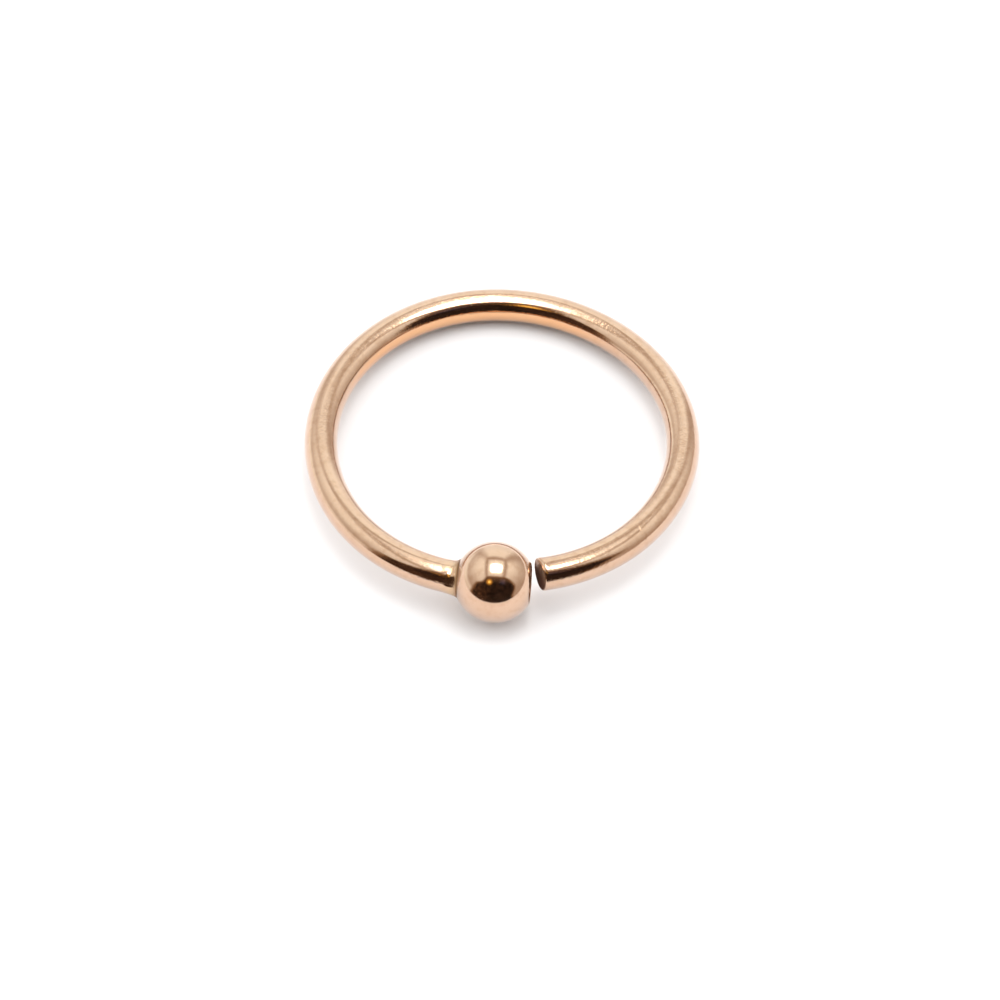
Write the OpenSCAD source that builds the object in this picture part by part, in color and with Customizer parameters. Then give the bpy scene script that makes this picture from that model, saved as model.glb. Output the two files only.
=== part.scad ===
// Fixed-bead nose hoop: one round wire bent into an open ring, with a drilled
// bead soldered on one end. The free tip springs into the bead's socket.
// The hoop lies on its side, as it rests by itself: on the bead at the front
// and on the wire at the back. Units are millimetres, +Z is up, and the
// origin is under the middle of the hoop's outline, on the resting surface.

/* [Wire] */
// Diameter of the round wire, 20 gauge
wire_d = 0.81; // [0.7:0.01:1]
// Inner diameter of the hoop, measured between the wire's inner sides
inner_d = 8; // [7:0.1:12]
// Width of the bevel filed round the free tip, on the hoop's inner side
tip_bevel_inner = 0.04; // [0.02:0.01:0.1]
// Width of the same bevel on the hoop's outer side, where more was filed off
tip_bevel_outer = 0.1; // [0.02:0.01:0.2]
// Slant of the free tip's cut, in degrees, which leaves the inner side nearer the bead
tip_slant = 6; // [0:1:15]

/* [Bead] */
// Diameter of the bead
bead_d = 1.96; // [1.8:0.01:2.4]
// Play round the tip when it sits in the bead's socket, on each side
socket_play = 0.05; // [0.03:0.01:0.1]
// How far the socket reaches past the middle of the bead, towards the wire
socket_past_middle = 0.3; // [0:0.05:0.4]
// Width of the bevel round the socket's mouth
mouth_bevel = 0.04; // [0.02:0.01:0.06]
// Turn of the socket towards the hoop's outer side, in degrees
socket_out = 3.5; // [0:0.5:6]

/* [Opening] */
// Gap between the socket's mouth and the middle of the free tip, along the hoop
gap = 0.2; // [0.18:0.01:0.6]
// Length of the sprung stretch of wire at the free tip, in degrees round the hoop
sprung_turn = 35; // [20:1:60]
// Lean of the sprung stretch, in degrees, which lifts the tip out of the hoop's plane
sprung_lean = 8; // [0:0.5:12]

/* [Solder] */
// Length of the solder along the wire, from the bead's surface
solder_l = 0.36; // [0.2:0.02:0.5]
// Height of the solder above the wire where it meets the bead
solder_rise = 0.06; // [0.04:0.01:0.12]

/* [Hidden] */

// Every round surface here is exact, so this only sets how a preview looks.
$fn = 96;

wire_r = wire_d / 2;
bead_r = bead_d / 2;
hoop_r = (inner_d + wire_d) / 2;
socket_r = wire_r + socket_play;

// Distance from the bead's middle to the plane of the socket's mouth
mouth_at = sqrt(bead_r * bead_r - socket_r * socket_r);
// Turn round the hoop, from the bead's middle to the free tip
tip_turn = (mouth_at + gap) / hoop_r * 180 / PI;
// Length of the straight bit of wire that the slanted cut takes up, with a little behind it
tip_behind = 0.05;
tip_l = wire_r * tan(tip_slant) + tip_bevel_outer + tip_behind;
// The sprung stretch is a hair thinner than the ring, and starts this many
// degrees inside the ring's end
hair = 0.003;
sprung_r = wire_r - hair;
sprung_inside = 2;
// Turn from the bead's middle to where the wire's axis meets the bead's surface
joint_turn = 2 * asin(bead_r / (2 * hoop_r));
// Turn from the bead's middle to the wire's buried end
buried_turn = (socket_past_middle + wire_r) / hoop_r * 180 / PI;

// Tilt of the hoop's plane as it rests on the bead and on the wire opposite
rest_tilt = asin((bead_r - wire_r) / (2 * hoop_r));
// Height of the hoop's middle above the resting surface
rest_height = (bead_r + wire_r) / 2;
// Shift that puts the origin under the middle of the hoop's outline
outline_shift = (bead_r - wire_r) / 2;

// How far the collar's foot is sunk in the bead, and how far its neck stands back
solder_sunk = 0.34;
neck_back = 0.05;
// How far the collar's thin end dips into the wire, and the lumps' middles too
end_dip = 0.02;
lump_dip = 0.05;

// The bead sits at the front, and turns round the hoop are counted from there
front = -90;
// Overlap of cutting tools past the surface that they cut
past = 0.1;

// Solder lumps: how far each lies round the wire, in degrees from the hoop's
// outer side, how far along it from the joint, and how big it is
AROUND = 0;
ALONG = 1;
LUMP_D = 2;
solder_lumps = [
    [-25, 0.10, 0.20],
    [ 12, 0.20, 0.18],
    [ 50, 0.13, 0.16],
    [100, 0.05, 0.18],
    [165, 0.08, 0.19],
    [235, 0.12, 0.20],
];

// A stretch of the hoop's wire that turns counter-clockwise from one angle by another
module wire_arc(from, turn, r) {
    rotate([0, 0, from])
        rotate_extrude(angle = turn)
            translate([hoop_r, 0])
                circle(r);
}

// Puts its children on the wire's axis at an angle round the hoop: X points
// out of the hoop, Y along the wire and Z out of the hoop's plane
module on_hoop(angle) {
    rotate([0, 0, angle])
        translate([hoop_r, 0, 0])
            children();
}

// What the slanted cut and its bevel take off a wire that runs along +Z from
// the cut, with the hoop's outer side on +X
module cut_waste() {
    flat_r = wire_r - (tip_bevel_inner + tip_bevel_outer) / 2;
    off_middle = (tip_bevel_inner - tip_bevel_outer) / 2;
    rotate([0, -tip_slant, 0])
        difference() {
            translate([0, 0, -wire_d])
                cylinder(h = wire_d + wire_r, r = wire_d);
            translate([off_middle, 0, 0])
                cylinder(h = wire_d, r1 = flat_r, r2 = flat_r + wire_d);
        }
}

// The last, straight bit of wire with its slanted cut, drawn along +Z from the
// middle of the cut
module wire_end() {
    difference() {
        translate([0, 0, -tip_l])
            cylinder(h = 2 * tip_l, r = sprung_r);
        cut_waste();
    }
}

// The main ring, from its own start round the back to inside the bead
module main_wire() {
    wire_arc(0, 360 - sprung_turn - tip_turn - buried_turn, wire_r);
}

// The sprung stretch, from inside the ring's end to the free tip
module sprung_wire() {
    arc_turn = sprung_turn - tip_l / hoop_r * 180 / PI;
    wire_arc(-arc_turn, arc_turn + sprung_inside, sprung_r);
    on_hoop(-arc_turn)
        rotate([-90, 0, 0])
            translate([0, 0, -tip_l])
                wire_end();
}

// Ring and sprung stretch. The sprung stretch turns about the ring's own
// tangent, so that it leaves the ring smoothly and lifts the tip.
module wire() {
    color("peru")
        on_hoop(front + tip_turn + sprung_turn) {
            translate([-hoop_r, 0, 0])
                main_wire();
            rotate([0, sprung_lean, 0])
                translate([-hoop_r, 0, 0])
                    sprung_wire();
        }
}

module bead() {
    color("tan")
        on_hoop(front)
            sphere(bead_r);
}

// The drilled socket with its bevelled mouth, open towards the free tip
module socket() {
    on_hoop(front)
        rotate([-90, 0, -socket_out]) {
            translate([0, 0, -socket_past_middle])
                cylinder(h = socket_past_middle + bead_r + past, r = socket_r);
            translate([0, 0, mouth_at - mouth_bevel])
                cylinder(h = 2 * mouth_bevel, r1 = socket_r, r2 = socket_r + 2 * mouth_bevel);
        }
}

// Collar of solder and its lumps, drawn along +Z from the joint
module solder_on_joint() {
    neck_r = wire_r + 0.4 * solder_rise;
    translate([0, 0, -solder_sunk])
        cylinder(h = solder_sunk - neck_back, r1 = wire_r + solder_rise, r2 = neck_r);
    translate([0, 0, -neck_back])
        cylinder(h = neck_back + solder_l, r1 = neck_r, r2 = wire_r - end_dip);
    for (lump = solder_lumps)
        rotate([0, 0, lump[AROUND]])
            translate([wire_r - lump_dip, 0, lump[ALONG]])
                sphere(d = lump[LUMP_D]);
}

module solder() {
    color("darkgoldenrod")
        on_hoop(front - joint_turn)
            rotate([90, 0, 0])
                solder_on_joint();
}

// Wire, bead and solder are one piece of metal, laid down as it rests
module beaded_hoop() {
    translate([0, outline_shift, rest_height])
        rotate([-rest_tilt, 0, 0])
            difference() {
                union() {
                    wire();
                    bead();
                    solder();
                }
                socket();
            }
}

beaded_hoop();
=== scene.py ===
"""Looks of a fixed-bead nose hoop in polished rose gold, lying in a small light tent."""

import logging
import math
from dataclasses import astuple, dataclass, field, fields
from enum import Enum

import bpy
import numpy as np
from mathutils import Matrix, Quaternion, Vector


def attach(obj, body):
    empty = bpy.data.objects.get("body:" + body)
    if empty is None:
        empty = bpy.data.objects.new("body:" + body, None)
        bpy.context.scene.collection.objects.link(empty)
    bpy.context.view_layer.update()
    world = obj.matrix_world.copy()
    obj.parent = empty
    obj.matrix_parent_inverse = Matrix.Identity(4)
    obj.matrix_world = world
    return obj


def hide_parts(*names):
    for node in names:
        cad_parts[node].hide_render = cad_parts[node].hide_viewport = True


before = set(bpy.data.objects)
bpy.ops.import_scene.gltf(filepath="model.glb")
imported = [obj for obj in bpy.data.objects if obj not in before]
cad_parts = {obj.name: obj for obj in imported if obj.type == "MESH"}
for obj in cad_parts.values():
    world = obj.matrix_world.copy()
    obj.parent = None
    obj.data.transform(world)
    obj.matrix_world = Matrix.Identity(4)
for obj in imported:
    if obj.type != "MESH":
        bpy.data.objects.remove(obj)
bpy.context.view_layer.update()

log = logging.getLogger("nose_hoop")

MM = 0.001
NODE = "beaded_hoop"
PHOTO_SIDE_PX = 1000

# Turn round the hoop, in degrees, at which the bead sits, and the same place after one round
FRONT = -90.0
FRONT_AGAIN = FRONT + 360.0

# Share of a cap's radius at which its innermost ring lies
CAP_MIDDLE = 0.02

Colour = tuple[float, float, float]
Direction = tuple[float, float, float]
WHITE: Colour = (1.0, 1.0, 1.0)


def add_object(name: str, data: bpy.types.ID) -> bpy.types.Object:
    """Puts a new object with its data in the scene."""
    made = bpy.data.objects.new(name, data)
    bpy.context.scene.collection.objects.link(made)
    return made


class Channel(Enum):
    """The mesh attributes that the finish reads."""

    ALONG = "along"
    RING_COS = "ring_cos"
    RING_SIN = "ring_sin"
    BEAD = "bead"
    SOLDER = "solder"
    CUT = "cut"
    BORE = "bore"
    CREVICE = "crevice_shade"


class Operand:
    """A shader value on which Python's operators add Math nodes."""

    def __init__(self, graph: "Graph", socket: bpy.types.NodeSocket) -> None:
        """Wraps an output socket of a node in the graph."""
        self.graph = graph
        self.socket = socket

    def math(self, operation: str, *others: "Operand | float") -> "Operand":
        """The result of a Math node whose first input is this value."""
        return self.graph.math(operation, self, *others)

    def __add__(self, other: "Operand | float") -> "Operand":
        """This value plus another."""
        return self.math("ADD", other)

    __radd__ = __add__

    def __sub__(self, other: "Operand | float") -> "Operand":
        """This value minus another."""
        return self.math("SUBTRACT", other)

    def __rsub__(self, other: float) -> "Operand":
        """A number minus this value."""
        return self.graph.math("SUBTRACT", other, self)

    def __mul__(self, other: "Operand | float") -> "Operand":
        """This value times another."""
        return self.math("MULTIPLY", other)

    __rmul__ = __mul__

    def __truediv__(self, other: "Operand | float") -> "Operand":
        """This value over another."""
        return self.math("DIVIDE", other)

    def __rtruediv__(self, other: float) -> "Operand":
        """A number over this value."""
        return self.graph.math("DIVIDE", other, self)

    def __pow__(self, other: float) -> "Operand":
        """This value to a power."""
        return self.math("POWER", other)

    def __neg__(self) -> "Operand":
        """This value with its sign turned."""
        return self.math("MULTIPLY", -1.0)

    def absolute(self) -> "Operand":
        """This value without its sign."""
        return self.math("ABSOLUTE")

    def at_least(self, other: "Operand | float") -> "Operand":
        """The larger of this value and another."""
        return self.math("MAXIMUM", other)

    def ramp(self, low: float, high: float) -> "Operand":
        """A smooth step from 0 at the low value to 1 at the high one, which may be the smaller."""
        settings = {"interpolation_type": "SMOOTHSTEP", "clamp": True}
        return self.graph.node("ShaderNodeMapRange", settings, {0: self, 1: low, 2: high, 3: 0.0, 4: 1.0})


def opaque(colour: Operand | Colour) -> Operand | tuple[float, ...]:
    """A colour as a socket value, with full alpha, or an operand as it is."""
    return colour if isinstance(colour, Operand) else (*colour, 1.0)


class Graph:
    """A node tree that is written as expressions."""

    def __init__(self, tree: bpy.types.NodeTree) -> None:
        """Empties a node tree to be filled anew."""
        self.tree = tree
        tree.nodes.clear()

    @staticmethod
    def socket(sockets: bpy.types.bpy_prop_collection, key: int | str) -> bpy.types.NodeSocket:
        """The socket with a number, or the one in use with a name."""
        if isinstance(key, int):
            return sockets[key]
        return next(s for s in sockets if s.name == key and s.enabled)

    def node(self, kind: str, settings: dict, inputs: dict, output: int | str = 0) -> Operand | None:
        """Adds any node.

        Args:
            kind: The node's type name.
            settings: The node's properties, which are set first.
            inputs: Input socket name or number to a value or an operand.
            output: The name or number of the output that is wanted.

        Returns:
            The wanted output, or None for a node that has no outputs.
        """
        made = self.tree.nodes.new(kind)
        for name, value in settings.items():
            setattr(made, name, value)
        for key, value in inputs.items():
            socket = self.socket(made.inputs, key)
            if isinstance(value, Operand):
                self.tree.links.new(value.socket, socket)
            else:
                socket.default_value = value
        return Operand(self, self.socket(made.outputs, output)) if made.outputs else None

    def math(self, operation: str, *inputs: Operand | float) -> Operand:
        """The result of a Math node."""
        return self.node("ShaderNodeMath", {"operation": operation}, dict(enumerate(inputs)))

    def vector(self, x: Operand | float, y: Operand | float, z: Operand | float) -> Operand:
        """A vector of three values."""
        return self.node("ShaderNodeCombineXYZ", {}, {0: x, 1: y, 2: z})

    def parts(self, vector: Operand) -> list[Operand]:
        """The three values of a vector."""
        first = self.node("ShaderNodeSeparateXYZ", {}, {0: vector})
        return [Operand(self, out) for out in first.socket.node.outputs]

    def attribute(self, channel: Channel) -> Operand:
        """The value of one of the mesh's attributes."""
        return self.node("ShaderNodeAttribute", {"attribute_name": channel.value}, {}, "Fac")

    def noise(self, vector: Operand, scale: float, detail: float, roughness: float) -> Operand:
        """Smooth noise from 0 to 1, by its frequency, its finer layers and how strong they are."""
        inputs = {"Vector": vector, "Scale": scale, "Detail": detail, "Roughness": roughness}
        return self.node("ShaderNodeTexNoise", {"noise_dimensions": "3D"}, inputs)

    def blend(self, mask: Operand, low: Operand | Colour, high: Operand | Colour) -> Operand:
        """A colour that goes from low to high as the mask goes from 0 to 1."""
        inputs = {"Factor": mask, "A": opaque(low), "B": opaque(high)}
        return self.node("ShaderNodeMix", {"data_type": "RGBA"}, inputs, "Result")

    def tinted(self, colour: Colour, strength: Operand) -> Operand:
        """A colour times a value, through Vector Math."""
        inputs = {0: self.vector(*colour), "Scale": strength}
        return self.node("ShaderNodeVectorMath", {"operation": "SCALE"}, inputs)

    def sum_of(self, *colours: Operand) -> Operand:
        """Colours added together, through Vector Math."""
        total = colours[0]
        for colour in colours[1:]:
            total = self.node("ShaderNodeVectorMath", {"operation": "ADD"}, {0: total, 1: colour})
        return total


@dataclass(frozen=True)
class Step:
    """A smooth step between two values, the amount that it adds and the base that it starts from."""

    start: float
    full: float
    amount: float = 1.0
    base: float = 0.0

    def of(self, value: Operand) -> Operand:
        """The step's result at a value."""
        return value.ramp(self.start, self.full) * self.amount + self.base


@dataclass(frozen=True)
class WireSkin:
    """Where a point is on the wire: millimetres along it and the cosine and sine of its place round it."""

    along: Operand
    ring_cos: Operand
    ring_sin: Operand


@dataclass(frozen=True)
class Marks:
    """One kind of mark on the wire: noise per millimetre along it and per radius round it."""

    per_mm: float
    per_radius: float
    detail: float = 1.0
    roughness: float = 0.5
    height_mm: float = 0.0

    def noise(self, graph: Graph, skin: WireSkin, shift: Operand | float = 0.0) -> Operand:
        """The marks as noise on the wire's skin.

        Args:
            graph: The material's graph.
            skin: Where the noise is read.
            shift: What is added to the place along the wire.

        Returns:
            The noise, from 0 to 1.
        """
        along = skin.along * self.per_mm + shift
        place = graph.vector(along, skin.ring_cos * self.per_radius, skin.ring_sin * self.per_radius)
        return graph.noise(place, 1.0, self.detail, self.roughness)


@dataclass(frozen=True)
class Grain:
    """One kind of speckle in the metal itself: noise per metre."""

    per_m: float
    detail: float = 2.0
    roughness: float = 0.5
    height_mm: float = 0.0

    def noise(self, graph: Graph, place: Operand) -> Operand:
        """The speckle as noise at a place, from 0 to 1."""
        return graph.noise(place, self.per_m, self.detail, self.roughness)


@dataclass(frozen=True)
class RoseGold:
    """Polished, lacquered rose gold with fine marks across the wire and yellower solder, with painted shade
    in the joint's corner, the socket and the cut, and a painted warm reflection inside the back of the ring.
    """

    gold: Colour = (0.585, 0.376, 0.25)
    deep_gold: Colour = (0.50, 0.29, 0.17)
    # Painted warm reflection for the inner side at the back
    painted_bounce_tint: Colour = (0.72, 0.36, 0.15)
    solder: Colour = (0.66, 0.44, 0.22)
    # Painted shade for the joint's corner between the wire and the bead
    crevice_shade: Colour = (0.22, 0.11, 0.045)
    # Painted shade for the socket's mouth and drilled wall
    drilled: Colour = (0.17, 0.05, 0.022)
    # Painted shade for the cut face and its rounded edge, dark as what the cut reflects
    cut_face_shade: Colour = (0.18, 0.085, 0.054)
    name: str = "rose_gold"

    # The lacquer over the metal, its roughness, and what scratches, cloud, solder and the joint add
    lacquer: float = 1.0
    lacquer_ior: float = 1.6
    polish: float = 0.10
    dull_scratches: Step = Step(0.45, 0.8, 0.05)
    dull_cloud: Step = Step(0.4, 0.8, 0.03)
    dull_solder: float = 0.05
    dull_corner: float = 0.3

    # The roughness and shine of the dull cut and the drilled wall, which are painted dark as shade
    painted_dark_roughness: float = 0.9
    painted_dark_shine: float = 0.05

    # Marks from drawing, bending and filing the wire
    swirl: Marks = Marks(2.5, 2.0, 2.0)
    swirl_shift: float = 5.0
    scratches: Marks = Marks(18.0, 5.0, 3.0, 0.6, 0.0042)
    worn: Marks = Marks(0.6, 1.0)
    waves: Marks = Marks(1.7, 0.6, height_mm=0.0025)
    lines: Marks = Marks(0.35, 9.0, 2.0, 0.55, 0.0022)

    # Speckle in the metal, the finest of which is coarser on the filed cut
    cloud: Grain = Grain(1400.0, 3.0, 0.55, 0.006)
    fleck: Grain = Grain(5500.0, 2.0, 0.6)
    fine: Grain = Grain(9000.0, height_mm=0.0004)
    cut_height_mm: float = 0.01

    # How strong the scratches are, by wear, and what the filed stripe along the wire's top adds
    wear: Step = Step(0.3, 0.7, 0.8, 0.3)
    filed_at: float = -0.25
    filed: Step = Step(0.26, 0.12, 0.5)
    filed_top: Step = Step(0.0, 0.3)

    # The painted warm reflection on the inner side at the back, standing in for light bounced between the
    # wire and the floor where it rests, by distance along the wire from its middle
    rear_along_mm: float = 13.9
    painted_bounce: Step = Step(5.0, 2.6, 0.85)
    inner: Step = Step(0.82, 0.97)

    # The shares of the deeper gold and of the solder, by the noise
    cloudy: Step = Step(0.35, 0.75, 0.35)
    flecked: Step = Step(0.45, 0.7, 0.5)
    molten: Step = Step(0.42, 0.6, 0.6, 0.2)

    def material(self) -> bpy.types.Material:
        """Builds the metal's material.

        Returns:
            The material.
        """
        made = bpy.data.materials.new(self.name)
        made.use_nodes = True
        graph = Graph(made.node_tree)
        *on_wire, bead, solder, cut, bore, corner = map(graph.attribute, Channel)
        skin = WireSkin(*on_wire)
        place = graph.node("ShaderNodeTexCoord", {}, {}, "Object")
        wire = 1.0 - bead.at_least(cut)
        cloud = self.cloud.noise(graph, place)
        scratches = self.scratches.noise(graph, skin, self.swirl.noise(graph, skin) * self.swirl_shift)

        # Painted warm reflection: the inner side at the back is tinted orange, most at the back's middle
        painted_bounce = self.painted_bounce.of((skin.along - self.rear_along_mm).absolute()) * self.inner.of(-skin.ring_cos)
        tone = graph.blend(self.cloudy.of(cloud), self.gold, self.deep_gold)
        tone = graph.blend(self.flecked.of(self.fleck.noise(graph, place)), tone, self.deep_gold)
        tone = graph.blend(painted_bounce * wire, tone, self.painted_bounce_tint)
        tone = graph.blend(solder * self.molten.of(cloud), tone, self.solder)
        # Painted shade in the socket, from the mouth's rounding into the drilled wall
        tone = graph.blend(bore, tone, self.drilled)
        # Painted shade in the joint's corner, where the lacquer is also left off and the metal is rougher
        tone = graph.blend(corner, tone, self.crevice_shade)
        # Painted shade on the cut face and its rounded edge
        tone = graph.blend(cut, tone, self.cut_face_shade)

        gloss = self.polish + self.dull_scratches.of(scratches) * wire + self.dull_cloud.of(cloud)
        gloss = gloss + solder * self.dull_solder + corner * self.dull_corner

        height = self.wire_marks(graph, skin, scratches) * wire + cloud * solder * self.cloud.height_mm
        fine = self.fine.noise(graph, place)
        height = height + fine * (wire + 1.0) * self.fine.height_mm + fine * cut * self.cut_height_mm
        bump = graph.node("ShaderNodeBump", {}, {"Height": height, "Distance": MM, "Strength": 1.0})

        both = {"Base Color": tone, "Normal": bump}
        polished = {
            "Metallic": 1.0,
            "Roughness": gloss,
            "Coat Weight": self.lacquer * (1.0 - corner),
            "Coat Roughness": self.polish,
            "Coat IOR": self.lacquer_ior,
        }
        painted_dark = {"Roughness": self.painted_dark_roughness, "Specular IOR Level": self.painted_dark_shine}
        metal = graph.node("ShaderNodeBsdfPrincipled", {}, both | polished)
        dull = graph.node("ShaderNodeBsdfPrincipled", {}, both | painted_dark)
        # Where the cut and the socket are painted dark, a dull surface takes over from the polished one
        mixed = graph.node("ShaderNodeMixShader", {}, {0: cut.at_least(bore), 1: metal, 2: dull})
        graph.node("ShaderNodeOutputMaterial", {}, {"Surface": mixed})
        return made

    def wire_marks(self, graph: Graph, skin: WireSkin, scratches: Operand) -> Operand:
        """The height of all the marks on the wire.

        Args:
            graph: The material's graph.
            skin: The place on the wire.
            scratches: The noise of the fine scratches.

        Returns:
            The height, in millimetres.
        """
        filed = self.filed.of((skin.ring_cos - self.filed_at).absolute()) * self.filed_top.of(skin.ring_sin)
        worn = self.wear.of(self.worn.noise(graph, skin))
        waves = self.waves.noise(graph, skin) * self.waves.height_mm
        lines = self.lines.noise(graph, skin) * self.lines.height_mm
        return scratches * (worn + filed) * self.scratches.height_mm + waves + lines


@dataclass(frozen=True)
class PaleTable:
    """The smooth white sheet that the hoop lies on."""

    white: Colour = (0.86, 0.855, 0.86)
    matt: float = 0.9
    shine: float = 0.1
    name: str = "pale_table"

    def material(self) -> bpy.types.Material:
        """Builds the sheet's material.

        Returns:
            The material.
        """
        made = bpy.data.materials.new(self.name)
        made.use_nodes = True
        graph = Graph(made.node_tree)
        inputs = {"Base Color": opaque(self.white), "Roughness": self.matt, "Specular IOR Level": self.shine}
        sheet = graph.node("ShaderNodeBsdfPrincipled", {}, inputs)
        graph.node("ShaderNodeOutputMaterial", {}, {"Surface": sheet})
        return made


@dataclass
class Station:
    """One ring of the skin: its points and, named as the channels are, what the finish needs there."""

    points: np.ndarray
    along: np.ndarray | float
    bead: float = 0.0
    solder: np.ndarray | float = 0.0
    cut: np.ndarray | float = 0.0
    bore: float = 0.0
    crevice_shade: np.ndarray | float = 0.0


@dataclass(frozen=True)
class Lobe:
    """A wave in the ring's roundness: how many go round it, the turn of a peak and the height."""

    count: int
    peak: float
    height: float


@dataclass(frozen=True)
class Flat:
    """How the wire's top is worn at a turn: degrees round the wire, half its width, and how flat."""

    turn: float
    around: float
    half: float
    wear: float


@dataclass
class Hoop:
    """The wire's path, in millimetres, in the hoop's own plane."""

    wire_d: float = 0.81
    inner_d: float = 8.0
    sprung_turn: float = 35.0
    sprung_lean: float = 8.0
    sprung_tuck: float = 0.6
    flats: tuple[Flat, ...] = (
        Flat(-75.5, 85, 16, 0.0),
        Flat(-73, 85, 16, 0.5),
        Flat(-50, 86, 16, 0.4),
        Flat(-30, 88, 16, 0.0),
        Flat(30, 104.5, 15, 0.0),
        Flat(58, 104.5, 15, 0.5),
        Flat(122, 104.5, 15, 0.5),
        Flat(150, 104.5, 15, 0.0),
        Flat(220, 78, 15, 0.0),
        Flat(245, 75, 15, 0.5),
    )
    lobes: tuple[Lobe, ...] = (Lobe(2, -56.9, 0.018), Lobe(3, -4.5, 0.031))
    tip_turn: float = field(init=False, default=0.0)

    @property
    def wire_r(self) -> float:
        """The wire's radius."""
        return self.wire_d / 2

    @property
    def path_r(self) -> float:
        """The radius of the wire's axis round the hoop."""
        return (self.inner_d + self.wire_d) / 2

    @property
    def turn_per_mm(self) -> float:
        """Degrees round the hoop for each millimetre along the wire."""
        return math.degrees(1 / self.path_r)

    @property
    def tip_at(self) -> float:
        """The turn at which the middle of the free tip's cut lies."""
        return FRONT + self.tip_turn

    def wobble(self, turn: float) -> float:
        """How far the hand-bent wire is off the true circle at a turn, outward in millimetres."""
        return sum(lobe.height * math.cos(lobe.count * math.radians(turn - lobe.peak)) for lobe in self.lobes)

    def skin_r(self, turn: float, angles: np.ndarray) -> np.ndarray:
        """The skin's distance from the wire's axis, with the flats worn on its top.

        Args:
            turn: Degrees counter-clockwise from the hoop's right.
            angles: Angles round the wire, in radians.

        Returns:
            The distance at each angle.
        """
        turns, *columns = zip(*(astuple(flat) for flat in self.flats))
        around, half, wear = (float(np.interp(turn, turns, column)) for column in columns)
        cap = np.cos(angles - math.radians(around)) - math.cos(math.radians(half))
        return self.wire_r * (1 - wear * np.maximum(cap, 0.0))

    def pose(self, turn: float) -> Matrix:
        """The wire's frame at a turn round the hoop: X out, Y along the wire, Z up.

        Args:
            turn: Degrees counter-clockwise from the hoop's right.

        Returns:
            The frame as a matrix.
        """
        out = Matrix.Translation((self.path_r, 0, 0))
        bent = Matrix.Translation((self.path_r + self.wobble(turn), 0, 0))
        start = self.tip_at + self.sprung_turn
        if turn >= start:
            return Matrix.Rotation(math.radians(turn), 4, "Z") @ bent
        lean = Matrix.Rotation(math.radians(self.sprung_lean), 4, "Y")
        tuck = Matrix.Rotation(math.radians(-self.sprung_tuck), 4, "Z")
        ring = Matrix.Rotation(math.radians(start), 4, "Z") @ out @ lean @ tuck @ out.inverted()
        return ring @ Matrix.Rotation(math.radians(turn - start), 4, "Z") @ bent


@dataclass
class Bead:
    """The drilled bead, in millimetres, centred on the wire's path at the front."""

    diameter: float = 1.96
    set_out: float = 0.015
    socket_r: float = 0.455
    socket_past_middle: float = 0.3
    socket_out: float = 3.6
    mouth_round: float = 0.05
    mouth_lip: float = 0.012

    @property
    def radius(self) -> float:
        """The bead's radius."""
        return self.diameter / 2

    @property
    def mouth_at(self) -> float:
        """How far the mouth's plane is from the bead's middle."""
        return math.sqrt(self.radius**2 - self.socket_r**2)

    @property
    def edge_r(self) -> float:
        """The radius at which the mouth's rounding meets the bead's surface."""
        return self.socket_r + self.mouth_round

    @property
    def edge_at(self) -> float:
        """How far that edge is from the bead's middle."""
        return math.sqrt(self.radius**2 - self.edge_r**2)


@dataclass(frozen=True)
class Lump:
    """A raised spot of solder: degrees round the wire, distance from the bead, height and size."""

    around: float
    back: float
    height: float
    width: float
    length: float | None = None


@dataclass
class Solder:
    """The thin solder that flowed round the joint, in millimetres."""

    length: float = 0.42
    thin_share: float = 0.4
    film: float = 0.006
    fillet: float = 0.06
    fillet_reach: float = 0.055
    # The painted shade in the joint's corner: how strong it is, how far it and the solder reach onto the
    # bead, and how fast the shade fades there
    joint_shade: float = 1.3
    on_bead_share: float = 0.05
    on_bead_fade: float = 1.5
    lumps: tuple[Lump, ...] = (
        Lump(60, 0.24, 0.010, 0.030),
        Lump(56, 0.11, 0.010, 0.030),
        Lump(14, 0.20, 0.014, 0.026, 0.085),
        Lump(-25, 0.10, 0.020, 0.080),
        Lump(100, 0.05, 0.012, 0.055),
        Lump(165, 0.08, 0.018, 0.065),
        Lump(235, 0.12, 0.024, 0.085),
    )

    def cover(self, back: np.ndarray) -> np.ndarray:
        """How fully the solder covers the wire at distances from the bead, from 0 to 1."""
        return np.clip((self.length - back) / (self.thin_share * self.length), 0, 1)

    def corner(self, back: np.ndarray) -> np.ndarray:
        """How much painted shade darkens the joint's corner at distances from the bead, from 0 to 1."""
        return np.minimum(1.0, self.joint_shade * np.exp(-back / self.fillet_reach))

    def rise(self, back: np.ndarray, angles: np.ndarray, wire_r: float) -> np.ndarray:
        """How far the solder stands above the wire.

        Args:
            back: Distances from the bead.
            angles: Angles round the wire, in radians.
            wire_r: The wire's radius.

        Returns:
            The height at each point.
        """
        share = self.cover(back)
        height = self.film * share**2 * (3 - 2 * share) + self.fillet * np.exp(-back / self.fillet_reach)
        for lump in self.lumps:
            apart = (angles - math.radians(lump.around) + math.pi) % (2 * math.pi) - math.pi
            length = lump.length or lump.width
            far = (apart * wire_r / lump.width) ** 2 + ((back - lump.back) / length) ** 2
            height = height + lump.height * share * np.exp(-far / 2)
        return height


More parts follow.
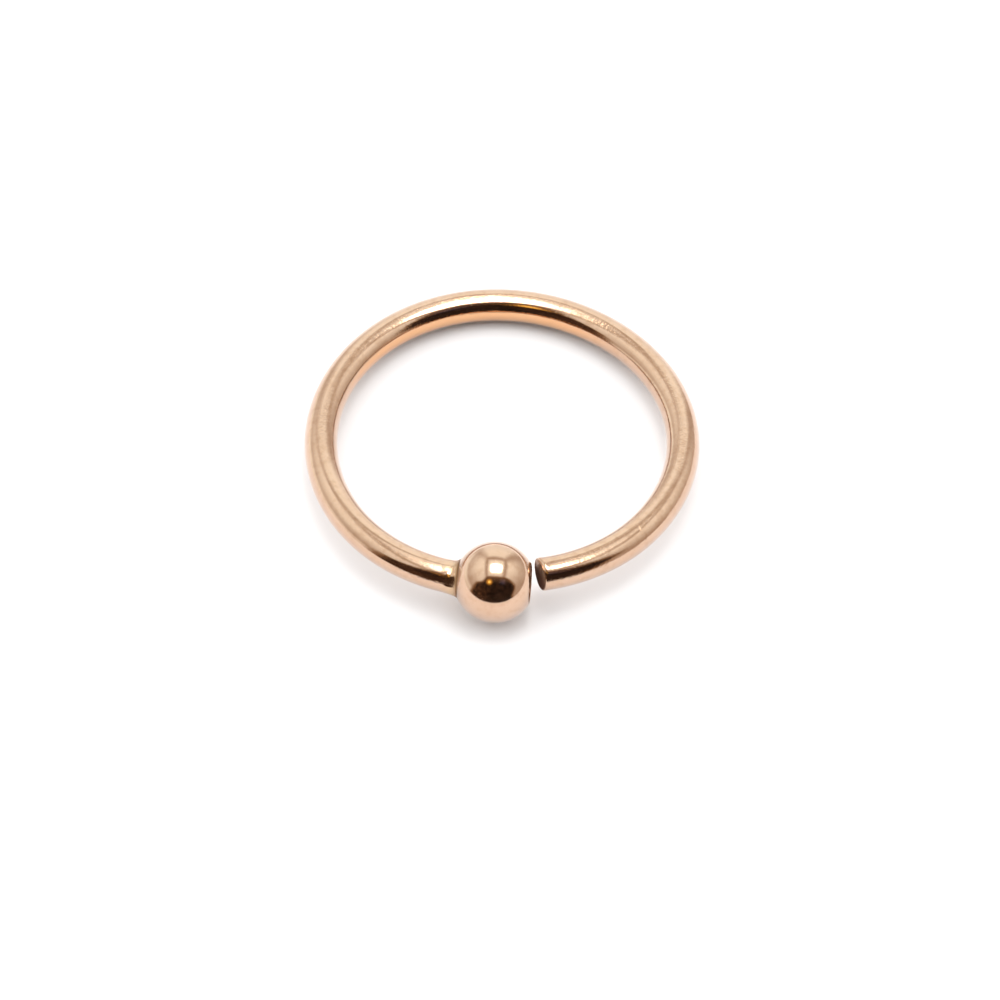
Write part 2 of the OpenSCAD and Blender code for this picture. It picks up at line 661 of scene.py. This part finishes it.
@dataclass
class BeadedHoop:
    """The whole hoop as one closed skin of rings: free tip, wire, solder, bead and socket."""

    hoop: Hoop = field(default_factory=Hoop)
    bead: Bead = field(default_factory=Bead)
    solder: Solder = field(default_factory=Solder)
    gap: float = 0.202
    tip_round_inner: float = 0.04
    tip_round_outer: float = 0.13
    tip_round_at: float = 60.0
    tip_slant: float = 6.0
    slant_fades: float = 0.35
    finish: RoseGold = RoseGold()

    # The cut's painted shade, dark brown in place of the dark that the cut reflects: how far round its edge
    # it reaches, in radians, how softly it ends, the share of it that is left off, and where round the wire,
    # in degrees
    cut_shade_end: float = 0.8
    cut_shade_fade: float = 0.4
    shade_left_off: float = 0.6
    shade_left_off_at: float = 105.0

    # Points in a ring, the rings' distance along the wire, and how many there are elsewhere
    sides: int = 120
    step: float = 0.045
    face_shares: tuple[float, ...] = (CAP_MIDDLE, 0.25, 0.5, 0.75, 0.92, 1.0)
    edge_rings: int = 10
    solder_rings: int = 30
    bead_rings: int = 76
    mouth_rings: int = 7
    wall_rings: int = 16
    bottom_shares: tuple[float, ...] = (0.8, 0.5, 0.2, CAP_MIDDLE)

    # Where the wire's skin can meet the bead, in turns of the joint, and the halvings that find it
    meeting_from: float = 2.0
    meeting_to: float = 0.4
    halvings: int = 30

    # What the channel for the place along the wire holds on the bead, where no mark reads it
    along_bead: float = 30.0

    angles: np.ndarray = field(init=False)
    rest_tilt: float = field(init=False)

    def __post_init__(self) -> None:
        """Works out the tip's turn, the angles round the wire and the tilt at rest."""
        reach = self.bead.mouth_at + self.gap
        self.hoop.tip_turn = math.degrees(reach / self.hoop.path_r)
        self.angles = np.linspace(0, 2 * math.pi, self.sides, endpoint=False)
        self.rest_tilt = math.asin((self.bead.radius - self.hoop.wire_r) / (2 * self.hoop.path_r))

    @property
    def joint_turn(self) -> float:
        """Degrees from the bead's middle to where the wire's axis meets the bead."""
        return math.degrees(2 * math.asin(self.bead.radius / (2 * self.hoop.path_r)))

    @property
    def solder_start(self) -> float:
        """The turn at which the bare wire ends and the solder begins."""
        return FRONT_AGAIN - self.joint_turn - self.solder.length * self.hoop.turn_per_mm

    @property
    def rest_pose(self) -> Matrix:
        """From the hoop's own plane to where it rests, in millimetres."""
        shift = (self.bead.radius - self.hoop.wire_r) / 2
        height = (self.bead.radius + self.hoop.wire_r) / 2
        return Matrix.Translation((0, shift, height)) @ Matrix.Rotation(-self.rest_tilt, 4, "X")

    def ring(self, pose: Matrix, radius: np.ndarray | float, forward: np.ndarray | float) -> np.ndarray:
        """Points round the wire's axis.

        Args:
            pose: The wire's frame there.
            radius: The ring's radius, one number or one for each point.
            forward: How far along the wire from the frame, one number or one for each point.

        Returns:
            The points, one row each.
        """
        flat = np.zeros((self.sides, 3))
        flat[:, 0] = np.cos(self.angles) * radius
        flat[:, 2] = np.sin(self.angles) * radius
        flat[:, 1] = forward
        turn = np.array(pose.to_3x3())
        return flat @ turn.T + np.array(pose.translation)

    @property
    def tip_round(self) -> np.ndarray:
        """The radius of the cut's rounded edge at each angle, largest at one place round it."""
        near = 0.5 + 0.5 * np.cos(self.angles - math.radians(self.tip_round_at))
        return self.tip_round_inner + (self.tip_round_outer - self.tip_round_inner) * near**2

    def slant(self, radius: np.ndarray | float, along: np.ndarray | float) -> np.ndarray:
        """How far the slanted cut moves a ring's points along the wire, by its distance from the cut."""
        left = np.maximum(0.0, 1 - along / self.slant_fades)
        return np.cos(self.angles) * radius * math.tan(math.radians(self.tip_slant)) * left

    def tip_stations(self) -> list[Station]:
        """The slanted cut face and its rounded edge.

        Returns:
            The rings from the middle of the face to the wire.
        """
        tip = self.hoop.tip_at
        flat_r = self.hoop.wire_r - self.tip_round
        # The cut is painted dark as shade over the face and round its edge, less of it on the side where the
        # edge catches the lamp
        shade_left_off = np.clip(np.cos(self.angles - math.radians(self.shade_left_off_at)), 0, 1) * self.shade_left_off
        made = []
        for share in self.face_shares:
            radius = flat_r * share
            points = self.ring(self.hoop.pose(tip), radius, self.slant(radius, 0.0))
            made.append(Station(points, 0.0, cut=1.0 - shade_left_off * share))
        for corner in np.linspace(0, math.pi / 2, self.edge_rings)[1:]:
            radius = flat_r + self.tip_round * math.sin(corner)
            forward = self.tip_round * (1 - math.cos(corner))
            turns = tip + (forward + self.slant(radius, forward)) * self.hoop.turn_per_mm
            edge_shade = np.clip((self.cut_shade_end - corner) / self.cut_shade_fade, 0, 1) * (1.0 - shade_left_off)
            made.append(Station(self.skin(turns, radius), forward, cut=edge_shade))
        return made

    def wire_stations(self) -> list[Station]:
        """The wire from behind the tip's edge to the solder.

        Returns:
            The rings along the wire.
        """
        per_mm = self.hoop.turn_per_mm
        first = self.hoop.tip_at + self.tip_round.max() * per_mm
        count = round((self.solder_start - first) / per_mm / self.step)
        made = []
        for turn in np.linspace(first, self.solder_start, count + 1)[1:]:
            along = (turn - self.hoop.tip_at) / per_mm
            shift = self.slant(self.hoop.wire_r, along)
            radii = self.hoop.skin_r(turn, self.angles)
            made.append(Station(self.ring(self.hoop.pose(turn), radii, shift), along))
        return made

    def skin(self, turns: np.ndarray, radii: np.ndarray) -> np.ndarray:
        """Points on the wire's skin, each at its own turn and radius.

        Args:
            turns: Each point's turn round the hoop.
            radii: Each point's distance from the wire's axis.

        Returns:
            The points, one row each.
        """
        spots = zip(turns, np.cos(self.angles) * radii, np.sin(self.angles) * radii)
        return np.array([tuple(self.hoop.pose(turn) @ Vector((out, 0.0, up))) for turn, out, up in spots])

    def meeting(self, radii: np.ndarray) -> np.ndarray:
        """The turns at which the soldered wire's skin meets the bead's sphere.

        Args:
            radii: The skin's distance from the wire's axis at the bead.

        Returns:
            One turn for each point.
        """
        middle = np.array(self.bead_pose.translation)
        low = np.full(self.sides, FRONT_AGAIN - self.meeting_from * self.joint_turn)
        high = np.full(self.sides, FRONT_AGAIN - self.meeting_to * self.joint_turn)
        for _ in range(self.halvings):
            guess = (low + high) / 2
            inside = np.linalg.norm(self.skin(guess, radii) - middle, axis=1) < self.bead.radius
            low, high = np.where(inside, low, guess), np.where(inside, guess, high)
        return (low + high) / 2

    def solder_stations(self) -> list[Station]:
        """The solder over the wire, up to the bead's surface.

        Returns:
            The rings from bare wire to the bead.
        """
        solder, start = self.solder, self.solder_start
        wire_r, per_mm = self.hoop.wire_r, self.hoop.turn_per_mm
        bare = self.hoop.skin_r(start, self.angles)
        meet = self.meeting(bare + solder.rise(np.zeros(self.sides), self.angles, wire_r))
        made = []
        for share in np.sin(np.linspace(0, math.pi / 2, self.solder_rings))[1:]:
            turns = start + (meet - start) * share
            back = (meet - turns) / per_mm
            points = self.skin(turns, bare + solder.rise(back, self.angles, wire_r))
            along = (float(np.mean(turns)) - self.hoop.tip_at) / per_mm
            made.append(Station(points, along, solder=solder.cover(back), crevice_shade=solder.corner(back)))
        return made

    def bead_stations(self, foot: np.ndarray) -> list[Station]:
        """The bead's round surface, from the solder's foot to the socket's mouth.

        Args:
            foot: The last ring of the solder.

        Returns:
            The rings over the bead, all on its sphere.
        """
        middle = np.array(self.bead_pose.translation)
        ends = (foot - middle, self.socket_ring(self.bead.edge_r, self.bead.edge_at) - middle)
        start, mouth = (end / np.linalg.norm(end, axis=1)[:, None] for end in ends)
        angle = np.arccos(np.clip((start * mouth).sum(1), -1, 1))[:, None]
        made = []
        for share in np.linspace(0, 1, self.bead_rings)[1:]:
            spread = np.sin((1 - share) * angle) * start + np.sin(share * angle) * mouth
            points = middle + self.bead.radius * spread / np.sin(angle)
            near = float(np.clip(1 - share / self.solder.on_bead_share, 0, 1))
            # The joint's painted shade reaches a little onto the bead and fades there
            joint_shade = near**self.solder.on_bead_fade
            made.append(Station(points, self.along_bead, bead=1.0, solder=near, crevice_shade=joint_shade))
        return made

    @property
    def bead_pose(self) -> Matrix:
        """The bead's frame: X out of the hoop, Y along the socket, Z up."""
        out = Matrix.Rotation(math.radians(-self.bead.socket_out), 4, "Z")
        return self.hoop.pose(FRONT_AGAIN) @ Matrix.Translation((self.bead.set_out, 0, 0)) @ out

    def socket_ring(self, radius: float, at: float) -> np.ndarray:
        """Points round the socket's axis at a distance from the bead's middle."""
        return self.ring(self.bead_pose, radius, at)

    def socket_stations(self) -> list[Station]:
        """The rounded mouth, the drilled wall and the bottom.

        Returns:
            The rings from the mouth to the middle of the bottom.
        """
        bead = self.bead
        made = []
        # The socket's painted shade grows over the mouth's rounding and is full on the wall and bottom
        for share in np.linspace(0, 1, self.mouth_rings)[1:]:
            corner = share * math.pi / 2
            radius = bead.edge_r - bead.mouth_round * math.sin(corner)
            lip = bead.mouth_lip * math.sin(2 * corner)
            at = bead.edge_at + lip - bead.mouth_round * (1 - math.cos(corner))
            made.append(Station(self.socket_ring(radius, at), self.along_bead, bead=1.0, bore=share**2))
        wall_top, bottom = bead.edge_at - bead.mouth_round, -bead.socket_past_middle
        drilled = [(1.0, at) for at in np.linspace(wall_top, bottom, self.wall_rings)[1:]]
        for share, at in drilled + [(share, bottom) for share in self.bottom_shares]:
            points = self.socket_ring(bead.socket_r * share, at)
            made.append(Station(points, self.along_bead, bead=1.0, bore=1.0))
        return made

    def stations(self) -> list[Station]:
        """All the rings, from the middle of the cut face to the socket's bottom."""
        made = self.tip_stations() + self.wire_stations() + self.solder_stations()
        made += self.bead_stations(made[-1].points)
        return made + self.socket_stations()

    def mesh(self, stations: list[Station]) -> bpy.types.Mesh:
        """Joins the rings into one closed skin.

        Args:
            stations: The rings in order.

        Returns:
            The mesh, in metres, where the hoop rests.
        """
        rest = self.rest_pose
        turn, shift = np.array(rest.to_3x3()), np.array(rest.translation)
        points = np.concatenate([s.points for s in stations])
        caps = np.array([stations[0].points.mean(0), stations[-1].points.mean(0)])
        points = (np.concatenate([points, caps]) @ turn.T + shift) * MM
        sides, count = self.sides, len(stations)
        here = np.arange(sides)
        after = (here + 1) % sides
        corners = np.stack([here, after, sides + after, sides + here], 1)
        first, end = count * sides, (count - 1) * sides
        faces = [face for low in range(0, end, sides) for face in (corners + low).tolist()]
        faces += [(first, b, a) for a, b in corners[:, :2].tolist()]
        faces += [(first + 1, end + a, end + b) for a, b in corners[:, :2].tolist()]
        made = bpy.data.meshes.new(NODE)
        made.from_pydata(points.tolist(), [], faces)
        made.validate()
        made.update()
        made.polygons.foreach_set("use_smooth", np.ones(len(made.polygons), bool))
        for part in fields(Station)[1:]:
            self.write(made, Channel(part.name), [getattr(station, part.name) for station in stations])
        self.write(made, Channel.RING_COS, [np.cos(self.angles)] * count)
        self.write(made, Channel.RING_SIN, [np.sin(self.angles)] * count)
        return made

    def write(self, mesh: bpy.types.Mesh, channel: Channel, values: list) -> None:
        """Stores one value for each ring, or for each point of each ring, as an attribute.

        Args:
            mesh: The mesh that gets the attribute.
            channel: Which attribute.
            values: One entry for each ring.
        """
        rows = np.array([np.broadcast_to(v, (self.sides,)) for v in values], np.float32)
        flat = np.concatenate([rows.ravel(), [rows[0].mean(), rows[-1].mean()]]).astype(np.float32)
        made = mesh.attributes.new(channel.value, "FLOAT", "POINT")
        made.data.foreach_set("value", flat)

    def build(self) -> bpy.types.Object:
        """Makes the skin, dresses it and ties it to the frame.

        Returns:
            The finished object.
        """
        made = add_object("rose_gold_hoop", self.mesh(self.stations()))
        made.data.materials.append(self.finish.material())
        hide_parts(NODE)
        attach(made, "root")
        return made


@dataclass(frozen=True)
class Ray:
    """A direction from the hoop: its parts to the right, away and up, and its angles in degrees."""

    graph: Graph
    toward: Operand
    right: Operand
    away: Operand
    up: Operand
    tilt: Operand
    azimuth: Operand

    @classmethod
    def turned(cls, graph: Graph, turn: float) -> "Ray":
        """The world's ray, with right and away as the photograph's camera has them.

        Args:
            graph: The world's graph.
            turn: The turn from the frame's axes to the camera's, in degrees.

        Returns:
            The ray, with its tilt from straight up and its azimuth from the camera.
        """
        toward = graph.node("ShaderNodeTexCoord", {}, {}, "Generated")
        east, north, up = graph.parts(toward)
        cosine, sine = math.cos(math.radians(turn)), math.sin(math.radians(turn))
        right = east * cosine + north * sine
        away = north * cosine - east * sine
        tilt = up.math("ARCCOSINE") * math.degrees(1)
        azimuth = right.math("ARCTAN2", -away) * math.degrees(1)
        return cls(graph, toward, right, away, up, tilt, azimuth)


@dataclass(frozen=True)
class Spot:
    """A soft round patch of light, full within one radius on the unit sphere and ending at another."""

    toward: Direction
    full: float
    end: float
    light: Colour = WHITE

    def mask(self, ray: Ray) -> Operand:
        """How far a ray is in the patch, from 0 to 1."""
        apart = zip((ray.right, ray.away, ray.up), self.toward)
        across, deep, high = ((part - middle) ** 2.0 for part, middle in apart)
        return ((across + deep + high) ** 0.5).ramp(self.end, self.full)

    def lit(self, ray: Ray) -> Operand:
        """The patch's light."""
        return ray.graph.tinted(self.light, self.mask(ray))


@dataclass(frozen=True)
class LampPanel:
    """The tent's lamp, a panel with round corners, by the ray's parts on the unit sphere."""

    light: Colour = (1.0, 0.985, 0.96)
    strength: float = 9.5
    toward: Direction = (0.064, 0.075, 0.995)
    half_right: float = 0.252
    half_away: float = 0.215
    squareness: float = 4.0
    edge: Step = Step(1.18, 0.82)
    horizon: Step = Step(0.0, 0.1)

    def lit(self, ray: Ray) -> Operand:
        """The lamp's light, and none outside it."""
        across = ((ray.right - self.toward[0]) / self.half_right) ** self.squareness
        deep = ((ray.away - self.toward[1]) / self.half_away) ** self.squareness
        mask = self.edge.of((across + deep) ** (1 / self.squareness)) * self.horizon.of(ray.up)
        return ray.graph.tinted(self.light, mask * self.strength)


@dataclass(frozen=True)
class Cloth:
    """The tent's cloth, bright at the top and back and browner at the sides and seams."""

    bright: Colour = (1.50, 1.60, 1.56)
    shade: Colour = (0.68, 0.58, 0.50)

    # How far the walls are from the hoop, over the tent's height
    left_wall: float = 0.40
    right_wall: float = 0.52
    back_wall: float = 0.70

    # The dark seams: the eaves under the roof, and a post between each side wall and the back
    seam_share: float = 0.95
    eaves: Step = Step(0.03, 0.34)
    post: Step = Step(0.05, 0.5)
    post_top: Step = Step(-0.1, 0.1)
    post_side: Step = Step(-0.1, 0.1, 0.3, 0.6)

    # The side walls' light by how steep the ray is, more at the left wall's foot and less beside
    # the camera, all by angles in degrees
    steep: Step = Step(90.0, 34.0, 0.85, 0.16)
    foot_tilt: Step = Step(74.0, 84.0, 0.7)
    foot_azimuth: Step = Step(20.0, -20.0)
    beside: Step = Step(110.0, 75.0, 0.25)

    # What the back wall's foot loses, and the corner where the back wall begins
    back_foot: Step = Step(60.0, 82.0, 0.2)
    corner: Step = Step(-0.08, 0.08)

    # The lamp's glow on the roof
    glow: Spot = Spot(LampPanel.toward, 0.26, 0.42)
    glow_adds: float = 0.45

    def lit(self, ray: Ray) -> Operand:
        """The cloth's light.

        Args:
            ray: The direction that it is seen in.

        Returns:
            The light as a colour.
        """
        side = (ray.right / self.right_wall).at_least(ray.right / -self.left_wall)
        back = ray.away / self.back_wall
        side_level, back_level = self.side_level(ray), 1.0 - self.back_foot.of(ray.tilt)
        level = side_level + (back_level - side_level) * self.corner.of(back - side)
        level = level + self.glow.mask(ray) * self.glow_adds
        level = level * (1.0 - self.seam(ray, side, back) * self.seam_share)
        return ray.graph.blend(level, self.shade, self.bright)

    def side_level(self, ray: Ray) -> Operand:
        """How bright the side walls are, from 0 to 1."""
        foot = self.foot_tilt.of(ray.tilt) * self.foot_azimuth.of(ray.azimuth)
        return self.steep.of(ray.tilt) + foot - self.beside.of(ray.azimuth.absolute())

    def seam(self, ray: Ray, side: Operand, back: Operand) -> Operand:
        """How far a ray is in a seam.

        Args:
            ray: The direction.
            side: How near it is to the side walls, 1 where it meets the roof's height at the wall.
            back: The same for the back wall.

        Returns:
            1 in the middle of a seam and 0 outside it.
        """
        wall = side.at_least(back)
        below = (wall - ray.up) / wall.at_least(ray.up)
        eaves = 1.0 - self.eaves.of(below.absolute())
        post = (1.0 - self.post.of(((side - back) / wall).absolute())) * self.post_top.of(below)
        return eaves.at_least(post * self.post_side.of(ray.right))


@dataclass(frozen=True)
class Opening:
    """The opening towards the camera, which is darker than the cloth, with a brown border."""

    border: Colour = (0.38, 0.24, 0.143)
    border_from: Step = Step(0.0, 0.55)
    room_from: Step = Step(0.45, 1.0)

    # The top edge, by how far a ray goes towards the camera for its rise
    least_rise: float = 0.02
    top_edge: Step = Step(0.235, 0.46)
    top_fade: Step = Step(0.42, 0.9, 0.25, 0.75)

    # The side edges' azimuths, which shift with the tilt, and how soft they are, all in degrees
    left: Step = Step(42.0, 62.0, -14.0, -46.0)
    left_edge: Step = Step(-11.0, 8.0)
    right: Step = Step(68.0, 90.0, -18.0, 66.0)
    right_edge: Step = Step(-10.0, 8.0)

    def mask(self, ray: Ray) -> Operand:
        """How far a ray is in the opening.

        Args:
            ray: The direction.

        Returns:
            1 in the opening and 0 on the cloth.
        """
        near = -ray.away / ray.up.at_least(self.least_rise)
        left = self.left_edge.of(ray.azimuth - self.left.of(ray.tilt))
        right = self.right_edge.of(self.right.of(ray.tilt) - ray.azimuth)
        return self.top_edge.of(near) * self.top_fade.of(near) * left * right


@dataclass(frozen=True)
class Room:
    """The dim room behind the opening, with a lamp bulb and a window in it."""

    dark: Colour = (0.045, 0.028, 0.021)
    dark_least: float = 0.4
    patches: Grain = Grain(6.0)
    patch_edge: Step = Step(0.3, 0.75)

    # The warmer part low on the left, by angles in degrees
    warm: Colour = (0.13, 0.066, 0.030)
    warm_least: float = 0.1
    warm_adds: float = 0.7
    warm_azimuth: Step = Step(2.0, -45.0)
    warm_tilt: Step = Step(44.0, 66.0)

    bulb_toward: Direction = (-0.225, -0.558, 0.799)
    bulb: Spot = Spot(bulb_toward, 0.02, 0.19, (1.7, 0.95, 0.15))
    bulb_core: Spot = Spot(bulb_toward, 0.02, 0.07, (1.6, 1.5, 0.5))
    window: Spot = Spot((0.41, -0.49, 0.77), 0.03, 0.20, (0.07, 0.08, 0.16))

    def lit(self, ray: Ray) -> Operand:
        """The room's light.

        Args:
            ray: The direction that it is seen in.

        Returns:
            The light as a colour.
        """
        patches = self.patch_edge.of(self.patches.noise(ray.graph, ray.toward))
        warmth = self.warm_azimuth.of(ray.azimuth) * self.warm_tilt.of(ray.tilt)
        dim = ray.graph.tinted(self.dark, patches + self.dark_least)
        warm = ray.graph.tinted(self.warm, warmth * (patches * self.warm_adds + self.warm_least))
        spots = (spot.lit(ray) for spot in (self.bulb, self.bulb_core, self.window))
        return ray.graph.sum_of(dim, warm, *spots)


@dataclass
class LightTent:
    """The tent round the hoop, as light by direction, open towards the camera."""

    photo_turn: float = -2.08
    cloth: Cloth = Cloth()
    opening: Opening = Opening()
    room: Room = Room()
    lamp: LampPanel = LampPanel()

    # The even light that dull surfaces get, less from the opening and more from the sides
    soft_light: float = 1.92
    soft_opening: float = 0.85
    soft_sides: Step = Step(0.35, 0.95, 0.3, 1.0)

    def build(self) -> bpy.types.World:
        """Writes the tent into the scene's world.

        Returns:
            The world.
        """
        world = bpy.data.worlds.new("light_tent")
        bpy.context.scene.world = world
        world.use_nodes = True
        world.cycles.sampling_method = "NONE"
        graph = Graph(world.node_tree)
        ray = Ray.turned(graph, self.photo_turn)
        dark = self.opening.mask(ray)
        lit = graph.blend(self.opening.border_from.of(dark), self.cloth.lit(ray), self.opening.border)
        lit = graph.blend(self.opening.room_from.of(dark), lit, self.room.lit(ray))
        lit = graph.sum_of(lit, self.lamp.lit(ray))

        sideways = self.soft_sides.of(ray.right.absolute())
        soft = graph.tinted(WHITE, (1.0 - dark * self.soft_opening) * sideways * self.soft_light)
        diffuse = graph.node("ShaderNodeLightPath", {}, {}, "Is Diffuse Ray")
        seen = graph.node("ShaderNodeLightPath", {}, {}, "Is Camera Ray")
        light = graph.blend(seen, graph.blend(diffuse, lit, soft), WHITE)
        sky = graph.node("ShaderNodeBackground", {}, {"Color": light, "Strength": 1.0})
        graph.node("ShaderNodeOutputWorld", {}, {"Surface": sky})
        return world


@dataclass
class LampCore:
    """The hot middle of the tent's lamp, which throws the hoop's shadow on the sheet."""

    toward: Direction = (0.087, 0.118, 0.989)
    strength: float = 0.3
    wide: float = 16.0

    def build(self) -> bpy.types.Object:
        """Makes the lamp, left out of reflections because the tent shows it there.

        Returns:
            The lamp.
        """
        data = bpy.data.lights.new("lamp_core", "SUN")
        data.energy = self.strength
        data.angle = math.radians(self.wide)
        lamp = add_object("lamp_core", data)
        lamp.rotation_mode = "QUATERNION"
        lamp.rotation_quaternion = Vector(self.toward).to_track_quat("Z", "Y")
        lamp.visible_glossy = False
        return lamp


@dataclass
class Photograph:
    """The camera, set from how the hoop lies in the photograph."""

    elevation: float = 53.3
    azimuth: float = 2.08
    roll: float = -0.4
    distance_in_radii: float = 25.0
    px_per_radius: float = 181.2
    middle_px: tuple[float, float] = (501.1, 440.0)
    sensor_mm: float = 36.0
    clip_start: float = 0.002
    clip_end: float = 20.0

    def build(self, hoop: BeadedHoop) -> bpy.types.Object:
        """Makes the scene's camera.

        Args:
            hoop: The hoop that it looks at.

        Returns:
            The camera.
        """
        radius = hoop.hoop.path_r * MM
        middle = hoop.rest_pose.translation * MM
        turn, rise = math.radians(self.azimuth), math.radians(self.elevation)
        back = Vector((math.sin(turn) * math.cos(rise), -math.cos(turn) * math.cos(rise), math.sin(rise)))
        place = middle + back * (radius * self.distance_in_radii)
        level: Quaternion = (-back).to_track_quat("-Z", "Y")
        per_px = radius / self.px_per_radius
        right, up = level @ Vector((1, 0, 0)), level @ Vector((0, 1, 0))
        across, down = ((px - PHOTO_SIDE_PX / 2) * per_px for px in self.middle_px)
        aim = middle - right * across + up * down
        data = bpy.data.cameras.new("photograph")
        data.sensor_width = self.sensor_mm
        data.lens = self.sensor_mm * self.px_per_radius * self.distance_in_radii / PHOTO_SIDE_PX
        data.clip_start = self.clip_start
        data.clip_end = self.clip_end
        camera = add_object("photograph", data)
        camera.location = place
        camera.rotation_mode = "QUATERNION"
        look: Quaternion = (aim - place).to_track_quat("-Z", "Y")
        camera.rotation_quaternion = look @ Quaternion((0, 0, 1), math.radians(self.roll))
        bpy.context.scene.camera = camera
        return camera


@dataclass
class Table:
    """The white sheet under the hoop, in metres, which ends just in front of the picture."""

    side: float = 1.2
    front_edge: float = 0.0185
    finish: PaleTable = PaleTable()

    def build(self) -> bpy.types.Object:
        """Makes the sheet.

        Returns:
            The sheet.
        """
        half, near = self.side / 2, -self.front_edge
        mesh = bpy.data.meshes.new("pale_table")
        corners = [(-half, near, 0), (half, near, 0), (half, half, 0), (-half, half, 0)]
        mesh.from_pydata(corners, [], [(0, 1, 2, 3)])
        mesh.materials.append(self.finish.material())
        made = add_object("pale_table", mesh)
        return made


def main() -> None:
    """Builds the hoop, its surroundings and the camera."""
    logging.basicConfig(level=logging.INFO, format="%(name)s: %(message)s")
    scene = bpy.context.scene
    scene.view_settings.view_transform = "Standard"
    hoop = BeadedHoop()
    piece = hoop.build()
    log.info("%s: %d faces", piece.name, len(piece.data.polygons))
    table = Table().build()
    log.info("%s: %.2f m wide", table.name, table.dimensions.x)
    tent = LightTent().build()
    log.info("%s: %d nodes", tent.name, len(tent.node_tree.nodes))
    lamp = LampCore().build()
    log.info("%s: %.2f W per m2", lamp.name, lamp.data.energy)
    camera = Photograph().build(hoop)
    log.info("%s: lens %.0f mm", camera.name, camera.data.lens)


if __name__ == "__main__":
    main()
